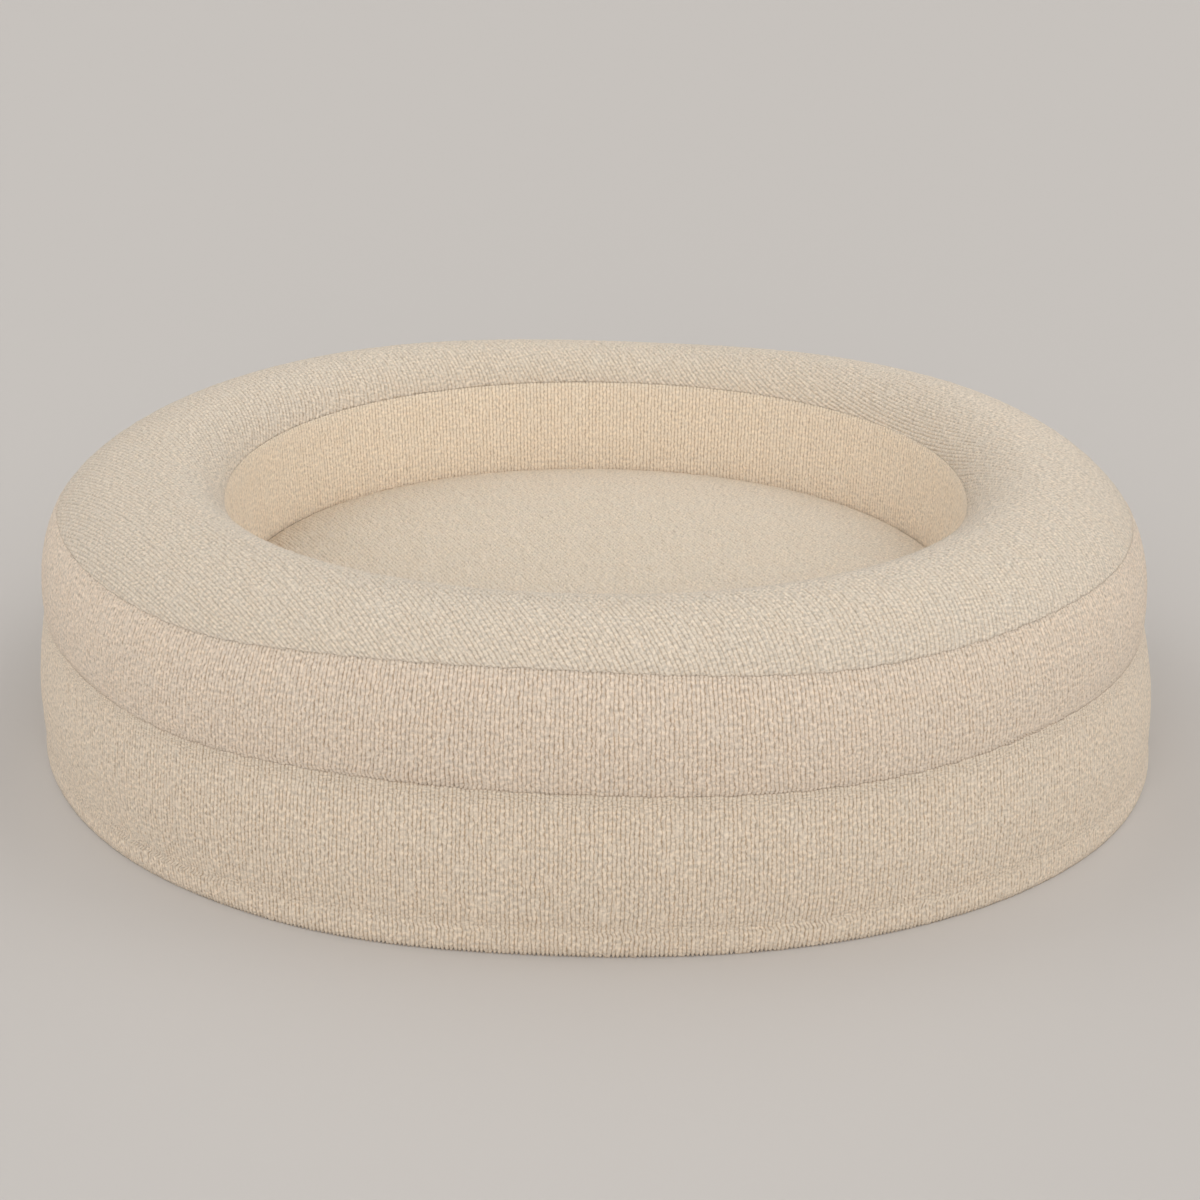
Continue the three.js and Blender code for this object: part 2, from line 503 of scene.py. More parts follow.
@dataclass(frozen=True)
class Cords:
    """The ribbed boucle itself: rows of fuzzy cords with narrow gaps, broken by nubs."""

    pitch: float = 0.00307
    columns: int = 3
    crest: float = 0.0002
    depth: float = 0.00125
    bead: float = 0.00022
    wave: float = 0.00024
    nub_share: float = 0.08
    flattened_lift: float = 0.6
    # How much the painted gap shade fades at the narrow ends, where the cords are drawn flat.
    flattened_gap_shade: float = 0.9
    nub_edge: tuple[float, float] = (0.5, 0.25)
    nub_height: float = 0.9
    bead_height: float = 0.8
    gap_range: float = 1.2
    shallowest_gap: float = 0.62
    nub_in_gap: float = 0.93
    loose_bead: float = 0.35
    loose_wave: float = 0.5
    fill_reach: tuple[float, float] = (0.5, 0.2)
    bead_reach: tuple[float, float] = (0.45, 0.2)
    wave_reach: tuple[float, float] = (0.6, 0.25)
    loose_reach: tuple[float, float] = (0.7, 0.6)

    def relief(self, seed: int, rows: int, count: int, round_about: bool) -> tuple[Array, Array, Array]:
        """The relief of a cloth grid whose columns run three to a cord.

        Args:
            seed: The seed of this cloth's yarn.
            rows: The grid's rows of points.
            count: The grid's columns of points.
            round_about: Whether the last column is the first again.

        Returns:
            How far each point stands out, how far it shifts across the cords, and how deep in a gap it is.
        """
        rng = np.random.default_rng(seed)
        cords = math.ceil((count - (1 if round_about else 0)) / self.columns)
        fill = blurred_noise(rng, (rows, cords), self.fill_reach)
        bead = blurred_noise(rng, (rows, cords), self.bead_reach)
        wave = blurred_noise(rng, (rows, cords), self.wave_reach)
        loose = rng.standard_normal((rows, cords * self.columns))
        edge = float(np.quantile(fill, 1 - self.nub_share))
        nub = soft_step(fill, edge - self.nub_edge[0], edge + self.nub_edge[1])
        gap = mix(self.shallowest_gap, 1.0, soft_step(-fill, -self.gap_range, self.gap_range))
        lift = np.zeros((rows, cords, self.columns))
        groove = np.zeros_like(lift)
        groove[..., 0] = gap * (1 - self.nub_in_gap * nub)
        lift[..., 0] = -self.depth * groove[..., 0] + nub * self.bead
        near = (nub, np.roll(nub, -1, axis=1))
        for side in (1, 2):
            height = self.bead_height * bead + self.nub_height * near[side - 1]
            lift[..., side] = self.crest + self.bead * height
        lift = lift.reshape(rows, -1) + loose * self.bead * self.loose_bead
        shift = np.repeat(wave * self.wave, self.columns, axis=1)
        shift += blurred_noise(rng, shift.shape, self.loose_reach) * self.wave * self.loose_wave
        groove = groove.reshape(rows, -1)
        if round_about:
            return closed_rows(lift), closed_rows(shift), closed_rows(groove)
        return lift[:, :count], shift[:, :count], groove[:, :count]


def cloth_grid(name: str, columns: int, rows: int) -> tuple[bpy.types.Mesh, Array, Array]:
    """A flat grid of cloth.

    Args:
        name: The mesh's name.
        columns: Its faces across.
        rows: Its faces along.

    Returns:
        The mesh, and the column and row of each of its points.
    """
    bm = bmesh.new()
    bm.loops.layers.uv.new(UV_NAME)
    bmesh.ops.create_grid(bm, x_segments=columns, y_segments=rows, size=0.5, calc_uvs=True)
    mesh = bpy.data.meshes.new(name)
    bm.to_mesh(mesh)
    bm.free()
    flat = read_points(mesh)
    column = np.rint((flat[:, 0] + 0.5) * columns).astype(int)
    row = np.rint((flat[:, 1] + 0.5) * rows).astype(int)
    return mesh, column, row


def read_points(mesh: bpy.types.Mesh) -> Array:
    """A mesh's points.

    Args:
        mesh: The mesh.

    Returns:
        Its points, one to a row.
    """
    points = np.zeros(len(mesh.vertices) * 3)
    mesh.vertices.foreach_get("co", points)
    return points.reshape(-1, 3)


def write_points(mesh: bpy.types.Mesh, points: Array) -> None:
    """Moves a mesh's points."""
    mesh.vertices.foreach_set("co", np.ascontiguousarray(points, np.float32).ravel())
    mesh.update()


def write_layer(mesh: bpy.types.Mesh, name: str, values: Array) -> None:
    """Writes one number for each point."""
    layer = mesh.attributes.new(name, "FLOAT", "POINT")
    layer.data.foreach_set("value", np.ascontiguousarray(values, np.float32).ravel())


def scale_uv(mesh: bpy.types.Mesh, across: float, along: float) -> None:
    """Scales a grid's map from shares of the grid to cords and metres.

    Args:
        mesh: The grid.
        across: How many cords it has.
        along: How long it is.
    """
    layer = mesh.uv_layers[UV_NAME].data
    values = np.zeros(len(layer) * 2, np.float32)
    layer.foreach_get("uv", values)
    values = values.reshape(-1, 2) * np.array([across, along], np.float32)
    layer.foreach_set("uv", values.ravel())


def lay_flat_uv(mesh: bpy.types.Mesh, points: Array, pitch: float) -> None:
    """Maps a flat panel straight from its plan, with the cords along Y.

    Args:
        mesh: The panel.
        points: Its points.
        pitch: How far apart the cords are.
    """
    corners = np.zeros(len(mesh.loops), np.int32)
    mesh.loops.foreach_get("vertex_index", corners)
    values = points[corners, :2] / (pitch, 1.0)
    mesh.uv_layers[UV_NAME].data.foreach_set("uv", np.ascontiguousarray(values, np.float32).ravel())


def form_of(mesh: bpy.types.Mesh) -> bmesh.types.BMesh:
    """A mesh as a form that the operators work on.

    Args:
        mesh: The mesh.

    Returns:
        The form.
    """
    bm = bmesh.new()
    bm.from_mesh(mesh)
    return bm


def closed_piece(mesh: bpy.types.Mesh, bm: bmesh.types.BMesh) -> bpy.types.Object:
    """Merges a form's seams, turns its faces outward and makes it an object.

    Args:
        mesh: The mesh that it is written to, which has the piece's name.
        bm: The form.

    Returns:
        The piece, in the scene.
    """
    bmesh.ops.remove_doubles(bm, verts=bm.verts[:], dist=SEAM_MERGE)
    bmesh.ops.recalc_face_normals(bm, faces=bm.faces[:])
    if bm.calc_volume(signed=True) < 0:
        bmesh.ops.reverse_faces(bm, faces=bm.faces[:])
    for face in bm.faces:
        face.smooth = True
    open_edges = sum(1 for edge in bm.edges if len(edge.link_faces) != 2)
    bm.to_mesh(mesh)
    bm.free()
    piece = bpy.data.objects.new(mesh.name, mesh)
    bpy.context.scene.collection.objects.link(piece)
    log.info("%s: %d faces, %d open edges", mesh.name, len(mesh.polygons), open_edges)
    return piece


def turned_edge(bm: bmesh.types.BMesh) -> list[bmesh.types.BMVert]:
    """Turns a trimmed cloth's edge under.

    Args:
        bm: The cloth.

    Returns:
        The new points along the turned edge, which are still to be placed.
    """
    bmesh.ops.remove_doubles(bm, verts=bm.verts[:], dist=TRIM_MERGE)
    edges = [edge for edge in bm.edges if edge.is_boundary]
    grown = bmesh.ops.extrude_edge_only(bm, edges=edges)["geom"]
    return [item for item in grown if isinstance(item, bmesh.types.BMVert)]


def close_under(bm: bmesh.types.BMesh) -> None:
    """Closes a cloth's open edges with faces underneath."""
    edges = [edge for edge in bm.edges if edge.is_boundary]
    bmesh.ops.triangle_fill(bm, edges=edges, use_beauty=False, use_dissolve=False, normal=(0, 0, -1))


@dataclass
class Pucker:
    """How far the stuffing and the sewing push a panel out of its even form, around it and along its rows."""

    rows: Array
    lift: Array

    def at(self, turn: Array, row: Array) -> Array:
        """The push at places on the panel.

        Args:
            turn: The turns.
            row: The row places.

        Returns:
            The push there, in metres.
        """
        count = self.lift.shape[1]
        over = (turn % FULL_TURN) / FULL_TURN * count
        left = np.floor(over).astype(int)
        down = np.interp(row, self.rows, np.arange(len(self.rows)))
        top = np.clip(np.floor(down).astype(int), 0, len(self.rows) - 2)
        return between(self.lift, top, left % count, down - top, soft_step(over - left, 0, 1))


@dataclass
class Panel:
    """One stretch of rows of a stuffed form."""

    surface: Surface
    rows: Array
    flip: bool


@dataclass
class Stuffing:
    """The filling of one closed form: cloth under pressure, held at its seams."""

    name: str
    columns: int = 176
    pressure: float = 4.0
    stiffness: float = 5.0
    shrink: float = -0.12
    cap: float = 0.0035
    frames: int = 20
    seed: int = 7
    quality: int = 6
    mass: float = 0.15
    slack: float = 0.5
    slack_spread: float = 0.35
    slack_reach: tuple[float, float] = (2.5, 2.2)

    def settle(self, panels: list[Panel], back: list[Surface]) -> list[Pucker]:
        """Blows the form up a little against its seams.

        Args:
            panels: The form's panels in order, each held along its first and last row.
            back: Further rows that are held and close the form.

        Returns:
            How far each panel is pushed.
        """
        held, places = [], []
        turn = np.arange(self.columns + 1) / self.columns * FULL_TURN
        for panel in panels:
            for row in panel.rows:
                places.append(panel.surface(turn, np.full_like(turn, row)))
            held += [True] + [False] * (len(panel.rows) - 2) + [True]
        for ring in back:
            places.append(ring(turn, 0 * turn))
            held.append(True)
        places.append(places[0])
        held.append(True)
        grid = np.stack(places)
        mesh, column, row = cloth_grid(self.name, self.columns, len(places) - 1)
        write_points(mesh, grid[row, column])
        write_layer(mesh, "row", row % (len(places) - 1))
        write_layer(mesh, "column", column % self.columns)
        form = closed_piece(mesh, form_of(mesh))
        moved = self.simulate(form, np.array(held))
        found = np.zeros((len(places), self.columns, 3))
        found[self.read(form, "row"), self.read(form, "column")] = moved
        bpy.data.objects.remove(form)
        found[-1] = found[0]
        puckers, first = [], 0
        even = turn[:-1]
        for panel in panels:
            last = first + len(panel.rows)
            lifts = []
            for k, place in enumerate(panel.rows):
                out = normals_of(panel.surface, even, np.full_like(even, place), panel.flip)
                lifts.append(((found[first + k] - grid[first + k, :-1]) * out).sum(-1))
            lift = np.array(lifts)
            lift -= lift.mean(axis=1, keepdims=True)
            puckers.append(Pucker(panel.rows, np.clip(lift, -self.cap, self.cap)))
            log.info("%s: pushed %.1f mm at most", self.name, np.abs(lift).max() / MM)
            first = last
        return puckers

    def read(self, form: bpy.types.Object, name: str) -> Array:
        """Whole numbers from a layer of the form.

        Args:
            form: The form.
            name: The layer's name.

        Returns:
            One number for each point.
        """
        values = np.zeros(len(form.data.vertices), np.float32)
        form.data.attributes[name].data.foreach_get("value", values)
        return np.rint(values).astype(int)

    def simulate(self, form: bpy.types.Object, held: Array) -> Array:
        """Runs the cloth.

        Args:
            form: The closed form.
            held: Whether each of its rows is held.

        Returns:
            Its points at the last frame.
        """
        rows = self.read(form, "row")
        pins = form.vertex_groups.new(name="seams")
        pins.add([int(k) for k in np.flatnonzero(held[rows])], 1.0, "REPLACE")
        rng = np.random.default_rng(self.seed)
        slack = form.vertex_groups.new(name="slack")
        column = self.read(form, "column")
        patches = blurred_noise(rng, (len(held), self.columns), self.slack_reach)
        share = np.clip(self.slack + self.slack_spread * patches, 0, 1)[rows, column]
        for k, value in enumerate(share):
            slack.add([k], float(value), "REPLACE")
        cloth = form.modifiers.new("stuffing", "CLOTH")
        settings = cloth.settings
        settings.quality = self.quality
        settings.mass = self.mass
        settings.tension_stiffness = self.stiffness
        settings.compression_stiffness = self.stiffness
        settings.shear_stiffness = self.stiffness / 2
        settings.bending_stiffness = self.stiffness / 20
        settings.use_pressure = True
        settings.uniform_pressure_force = self.pressure
        settings.shrink_min = 0.0
        settings.shrink_max = self.shrink
        settings.vertex_group_shrink = "slack"
        settings.vertex_group_mass = "seams"
        settings.effector_weights.gravity = 0
        cloth.point_cache.frame_start = 1
        cloth.point_cache.frame_end = self.frames
        scene = bpy.context.scene
        for step in range(1, self.frames + 1):
            scene.frame_set(step)
        shown = form.evaluated_get(bpy.context.evaluated_depsgraph_get())
        moved = read_points(shown.data)
        scene.frame_set(1)
        return moved


@dataclass(frozen=True)
class Seam:
    """A line of sewing along a band: its place up the band, its reach and how deep it draws the cloth in."""

    place: float
    reach: float = 0.0014
    depth: float = 0.0001


@dataclass
class Band:
    """A strip of ribbed cloth sewn into a ring, with cords that run up and down it."""

    name: str
    cords: Cords
    outline: Oval
    count: int
    surface: Surface
    places: Array
    back: list[Surface]
    seed: int
    pucker: Pucker
    seams: list[Seam]
    height: float
    end_reach: float = 0.004
    lean: float = 0.0
    lean_place: float = 0.0
    lean_reach: float = 0.011
    lean_lumps: float = 30
    scallop: float = 0.0
    scallop_reach: float = 0.003
    gather: float = 0.0
    gather_depth: float = 2.0
    gather_lumps: float = 22
    gather_range: tuple[float, float] = (0.3, 1.5)

    def build(self) -> bpy.types.Object:
        """Makes the band's closed form.

        Returns:
            The piece.
        """
        columns = self.count * self.cords.columns
        front = len(self.places)
        rows = front + len(self.back)
        mesh, column, row = cloth_grid(self.name, columns, rows)
        grid, groove = self.points(columns)
        index = row % rows
        write_points(mesh, grid[index, column])
        write_layer(mesh, GROOVE_LAYER, groove[index, column])
        scale_uv(mesh, self.count, self.height * rows / front)
        return closed_piece(mesh, form_of(mesh))

    def points(self, columns: int) -> tuple[Array, Array]:
        """Lays the cords on the band's form.

        Args:
            columns: How many columns of faces the band has.

        Returns:
            Every row's points, and how deep in a gap each is.
        """
        lift, shift, groove = self.cords.relief(self.seed, len(self.places), columns + 1, True)
        place = self.places[:, None] + np.zeros(columns + 1)
        share = np.arange(columns + 1) / columns
        for seam in self.seams:
            near = np.exp(-(((place - seam.place) * self.height / seam.reach) ** 2))
            lift = lift * np.where(groove > 0, 1, 1 - SEAM_CALM * near) - seam.depth * near
        if self.gather:
            patches = ring_noise(self.seed + GATHER_SEED, columns, self.gather_lumps)
            patches = soft_step(patches, *self.gather_range)
            above = np.exp(-((place * self.height / self.gather) ** 2))
            lift = lift * (1 + self.gather_depth * patches * above * (groove > 0))
        ends = soft_step(np.minimum(place, 1 - place) * self.height, 0, self.end_reach)
        shift = shift * ends
        if self.lean:
            tilt = ring_noise(self.seed + LEAN_SEED, columns, self.lean_lumps)
            off = (place - self.lean_place) * self.height
            shift += self.lean * tilt * np.exp(-((off / self.lean_reach) ** 2)) * np.sign(off) * ends
        turn = self.outline.evenly(share + shift / self.outline.around())
        lift = lift * (1 - self.cords.flattened_lift * stretched(turn))
        # The painted gap shade fades at the narrow ends along with the flattened cords.
        groove = groove * (1 - self.cords.flattened_gap_shade * stretched(turn))
        out = normals_of(self.surface, turn, place, False)
        lift = lift + self.pucker.at(turn, place)
        grid = self.surface(turn, place) + out * lift[..., None]
        grid[..., 2] += self.scallop * groove * np.exp(-((place * self.height / self.scallop_reach) ** 2))
        grid[..., 2] = np.maximum(grid[..., 2], FLOOR_CLEARANCE)
        backs = [ring(self.outline.evenly(share), 0 * share) for ring in self.back]
        empty = np.zeros((len(backs), columns + 1))
        return np.concatenate([grid, np.stack(backs)]), np.concatenate([groove, empty])


@dataclass
class BiasPanel:
    """A cut of ribbed cloth whose cords all run one way, whatever the form that it covers."""

    name: str
    cords: Cords
    slant: float
    reach: float
    step: float
    seed: int
    place: Callable[[Array], tuple[Array, Array, Array]]
    surface: Surface
    flip: bool
    pucker: Pucker
    tuck: float
    tuck_reach: float
    skew: float = 0.0
    skew_reach: float = 0.0
    end_calm: float = 0.0

    def build(self, close: Callable[[bmesh.types.BMesh], None]) -> bpy.types.Object:
        """Lays the cloth over its form, trims it at the seams and closes it underneath.

        Args:
            close: Closes the trimmed cloth's open edges.

        Returns:
            The piece.
        """
        columns = 2 * math.ceil(self.reach / self.cords.pitch) * self.cords.columns
        rows = 2 * math.ceil(self.reach / self.step)
        mesh, column, row = cloth_grid(self.name, columns, rows)
        lift, shift, groove = self.cords.relief(self.seed, rows + 1, columns + 1, False)
        across = (column - columns / 2) * self.cords.pitch / self.cords.columns + shift[row, column]
        along = (row - rows / 2) * self.step
        cos, sin = math.cos(self.slant), math.sin(self.slant)
        flat = np.stack([across * cos - along * sin, across * sin + along * cos], axis=-1)
        flat[:, 0] *= 1 + self.skew * (self.skew_reach**2 - flat[:, 1] ** 2)
        turn, place, beyond = self.place(flat)
        inside = beyond > 0
        out = normals_of(self.surface, turn, place, self.flip)
        near = np.exp(-((np.maximum(beyond, 0) / self.tuck_reach) ** 2))
        calm = 1 - self.end_calm * stretched(turn) * place
        # The painted gap shade also fades towards the narrow ends.
        depth = groove[row, column] * calm
        relief = lift[row, column] * np.where(depth > 0, calm, calm * (1 - SEAM_CALM * near))
        rise = relief + self.pucker.at(turn, place) - self.tuck * near
        rise = np.where(inside, rise, -self.tuck)
        write_points(mesh, self.surface(turn, place) + out * rise[:, None])
        write_layer(mesh, GROOVE_LAYER, depth)
        scale_uv(mesh, columns / self.cords.columns, rows * self.step)
        bm = form_of(mesh)
        bm.verts.ensure_lookup_table()
        outside = [f for f in bm.faces if not any(inside[v.index] for v in f.verts)]
        bmesh.ops.delete(bm, geom=outside, context="FACES")
        close(bm)
        return closed_piece(mesh, bm)


@dataclass(frozen=True)
class Grain:
    """The grain of one noise: how far it is stretched on each axis, and its detail."""

    scale: Triple
    detail: float


@dataclass
class Nodes:
    """A node tree, with short ways to add to it."""

    tree: bpy.types.NodeTree

    def fill(self, node: bpy.types.Node, inputs: Inputs) -> None:
        """Links each input of a node to a socket, or sets its value.

        Args:
            node: The node.
            inputs: The sockets and values, by the inputs' names or numbers.
        """
        for place, value in inputs.items():
            if isinstance(value, bpy.types.NodeSocket):
                self.tree.links.new(value, node.inputs[place])
            else:
                node.inputs[place].default_value = value

    def add(self, kind: str, inputs: Inputs, **settings: str) -> bpy.types.Node:
        """Adds a node.

        Args:
            kind: Its type's name.
            inputs: Sockets and values for its inputs.
            **settings: Its own settings.

        Returns:
            The node.
        """
        node = self.tree.nodes.new(f"ShaderNode{kind}")
        for name, value in settings.items():
            setattr(node, name, value)
        self.fill(node, inputs)
        return node

    def maths(self, operation: str, *values: Socket | float) -> Socket:
        """One sum on up to three values."""
        return self.add("Math", dict(enumerate(values)), operation=operation).outputs[0]

    def noise(self, source: Socket, grain: Grain) -> Socket:
        """Noise on stretched coordinates, spread to the whole range.

        Args:
            source: The coordinates.
            grain: How the noise is stretched, and how fine it goes.

        Returns:
            The noise, from 0 to 1.
        """
        mapping = self.add("Mapping", {"Vector": source, "Scale": grain.scale})
        texture = self.add("TexNoise", {"Vector": mapping.outputs[0], "Scale": 1.0, "Detail": grain.detail})
        low, high = NOISE_RANGE
        spread = {"Value": texture.outputs["Fac"], "From Min": low, "From Max": high}
        return self.add("MapRange", spread).outputs["Result"]

    def blend(self, share: Socket, first: Colour, second: Colour) -> Socket:
        """A colour between two."""
        colours = {"Factor": share, 6: (*first, 1.0), 7: (*second, 1.0)}
        return self.add("Mix", colours, data_type="RGBA").outputs[2]

    def multiply(self, first: Socket, second: Socket) -> Socket:
        """Two colours, one times the other."""
        colours = {"Factor": 1.0, 6: first, 7: second}
        return self.add("Mix", colours, data_type="RGBA", blend_type="MULTIPLY").outputs[2]


@dataclass(frozen=True)
class BoucleFinish:
    """The cream boucle: a light fuzzy crest, a tan gap that is partly the yarn's deeper tone and partly
    painted shade, and yarn that varies from nub to nub.
    """

    name: str
    crest: Colour
    # The gap colour is partly the yarn's own deeper tone and partly painted shade in the recesses between
    # cords.
    gap: Colour
    gap_shade_strength: float = 0.95
    mottle: float = 0.2
    tint: float = 0.02
    sheen: float = 0.12
    wander: float = 0.32
    roughness: float = 0.95
    shine: float = 0.15
    sheen_roughness: float = 0.6
    sheen_tint: Colour = (1.0, 0.97, 0.93)
    high_tone: Colour = (1.0, 0.998, 0.99)
    beads: Grain = Grain((1.1, 430.0, 1.0), 1.5)
    fibres: Grain = Grain((4.0, 1500.0, 1.0), 2.0)
    wanders: Grain = Grain((0.9, 400.0, 7.0), 1.0)
    widths: Grain = Grain((0.8, 430.0, 3.0), 1.0)
    patches: Grain = Grain((60.0, 60.0, 60.0), 4.0)
    narrowest_gap: float = 0.12
    gap_spread: float = 0.14
    gap_fade: float = 0.35
    bead_height: float = 0.7
    gap_height: float = -1.2
    bump_strength: float = 0.55
    bump_height: float = 0.0006

    def material(self) -> bpy.types.Material:
        """Makes the node material.

        Returns:
            The material.
        """
        material = bpy.data.materials.new(self.name)
        material.use_nodes = True
        cloth = Nodes(material.node_tree)
        uv = cloth.add("UVMap", {}, uv_map=UV_NAME).outputs["UV"]
        beads = cloth.noise(uv, self.beads)
        fibres = cloth.noise(uv, self.fibres)
        wander = cloth.noise(uv, self.wanders)
        width = cloth.noise(uv, self.widths)
        patches = cloth.noise(cloth.add("TexCoord", {}).outputs["Object"], self.patches)
        across = cloth.add("SeparateXYZ", {0: uv}).outputs["X"]
        pushed = cloth.maths("MULTIPLY_ADD", wander, self.wander, -self.wander / 2)
        off_gap = cloth.maths("PINGPONG", cloth.maths("ADD", across, pushed), HALF_CORD)
        spread = cloth.maths("MULTIPLY_ADD", width, self.gap_spread, self.narrowest_gap)
        edges = {"Value": off_gap, "From Min": 0.0, "From Max": spread, "To Min": 1.0, "To Max": 0.0}
        in_gap = cloth.add("MapRange", edges, interpolation_type="SMOOTHSTEP").outputs["Result"]
        depth = cloth.add("Attribute", {}, attribute_name=GROOVE_LAYER).outputs["Fac"]
        open_gap = cloth.maths("POWER", depth, self.gap_fade)
        # Blends the gap colour in along the gaps: partly the yarn's deeper tone, partly painted shade.
        share = cloth.maths("MULTIPLY", cloth.maths("MULTIPLY", in_gap, open_gap), self.gap_shade_strength)
        warm = cloth.blend(patches, (1.0 + self.tint, 1.0, 1.0 - self.tint), (1.0, 1.0, 1.0))
        tinted = cloth.multiply(cloth.blend(share, self.crest, self.gap), warm)
        low, high = 1.0 - self.mottle, 1.0 + self.mottle
        tone = cloth.blend(beads, (low, low, low), tuple(high * part for part in self.high_tone))
        pile = cloth.maths("MULTIPLY_ADD", beads, self.bead_height, fibres)
        relief = cloth.maths("MULTIPLY_ADD", in_gap, self.gap_height, pile)
        bump = cloth.add(
            "Bump", {"Strength": self.bump_strength, "Distance": self.bump_height, "Height": relief})
        cloth.fill(cloth.tree.nodes["Principled BSDF"], {
            "Roughness": self.roughness,
            "Specular IOR Level": self.shine,
            "Sheen Weight": self.sheen,
            "Sheen Roughness": self.sheen_roughness,
            "Sheen Tint": (*self.sheen_tint, 1.0),
            "Base Color": cloth.multiply(tinted, tone),
            "Normal": bump.outputs["Normal"],
        })
        return material


def srgb(red: int, green: int, blue: int) -> Colour:
    """A screen colour as light.

    Args:
        red: Its red, from 0 to 255.
        green: Its green.
        blue: Its blue.

    Returns:
        The three as light, from 0 to 1.
    """
    def light(value: int) -> float:
        """One channel as light."""
        share = value / 255
        return share / 12.92 if share <= 0.04045 else ((share + 0.055) / 1.055) ** 2.4
    return light(red), light(green), light(blue)


def dress(piece: bpy.types.Object, material: bpy.types.Material, nodes: list[str]) -> bpy.types.Object:
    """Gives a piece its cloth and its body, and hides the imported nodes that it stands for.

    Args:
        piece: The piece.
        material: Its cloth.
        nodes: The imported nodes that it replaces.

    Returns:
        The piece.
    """
    piece.data.materials.clear()
    piece.data.materials.append(material)
    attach(piece, ROOT)
    if nodes:
        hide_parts(*nodes)
    return piece


@dataclass
class BaseCushion:
    """The stuffed base: its ribbed lower band with a stitched hem, and its underside."""

    bed: Bed
    cords: Cords
    finish: BoucleFinish
    cord_count: int = 852
    front_rows: int = 33
    tuck_inset: float = 0.028
    back_inset: float = 0.060
    back_drop: float = 0.002
    back_foot: float = 0.004
    filling_foot: float = 0.002
    filling_rows: tuple[float, float, int] = (0.02, 1, 13)
    fill: float = 0.9
    underside_fill: float = 0.3
    hem_turn: float = 0.0003
    hem_place: float = 0.19
    underside_edge: float = 0.013
    underside_columns: int = 256
    underside_groove: float = 0.5
    underside_rows: Table = (
        (0.0, 0.0006), (0.5, 0.0006), (0.97, 0.0004), (1.0, 0.0014), (0.97, 0.003), (0.0, 0.003))

    def settle(self) -> Pucker:
        """Fills the cushion.

        Returns:
            How far the lower band is pushed.
        """
        bed = self.bed
        panel = Panel(bed.lower_side, np.linspace(*self.filling_rows), False)
        back = [bed.rim.level(self.back_inset, height) for height in (bed.mid_seam, self.filling_foot)]
        return Stuffing("base_filling", columns=192, seed=11).settle([panel], back)[0]

    def build(self) -> list[bpy.types.Object]:
        """Makes the band and the underside.

        Returns:
            The pieces.
        """
        bed = self.bed
        material = self.finish.material()
        places = crowded(self.front_rows, [(0.0, 0.03, 2.4), (self.hem_place, 0.03, 1.8), (0.98, 0.05, 2.6)])
        back: list[Surface] = [
            lambda turn, row: bed.rim.set_in(turn, self.tuck_inset, bed.mid_seam_at(turn)),
            bed.rim.level(self.back_inset, bed.mid_seam - self.back_drop),
            bed.rim.level(self.back_inset, self.back_foot),
            lambda turn, row: bed.rim.set_in(turn, bed.underside_inset - pulled("hem", turn), self.hem_turn),
        ]
        band = Band(
            name="lower_band", cords=self.cords, outline=bed.rim, count=self.cord_count,
            surface=bed.lower_side, places=places, back=back, seed=101, pucker=self.settle(),
            seams=[Seam(self.hem_place, reach=0.0016, depth=0.0004), Seam(1.0)], height=bed.mid_seam,
            lean=0.0008, lean_place=0.17, scallop=0.0018)
        lower_band = dress(band.build(), material, ["base_cushion"])
        underside = dress(self.underside(), material, [])
        return [lower_band, underside]

    def underside(self) -> bpy.types.Object:
        """Makes the flat panel under the cushion.

        Returns:
            The piece.
        """
        table = np.array(self.underside_rows)
        mesh, column, row = cloth_grid("underside_panel", self.underside_columns, len(table) - 1)
        turn = column / self.underside_columns * FULL_TURN
        points = self.bed.rim.set_in(turn, self.underside_edge - pulled("hem", turn), table[row, 1])
        points[:, :2] *= table[row, 0][:, None]
        write_points(mesh, points)
        write_layer(mesh, GROOVE_LAYER, self.underside_groove * np.ones(len(points)))
        lay_flat_uv(mesh, points, self.cords.pitch)
        return closed_piece(mesh, form_of(mesh))


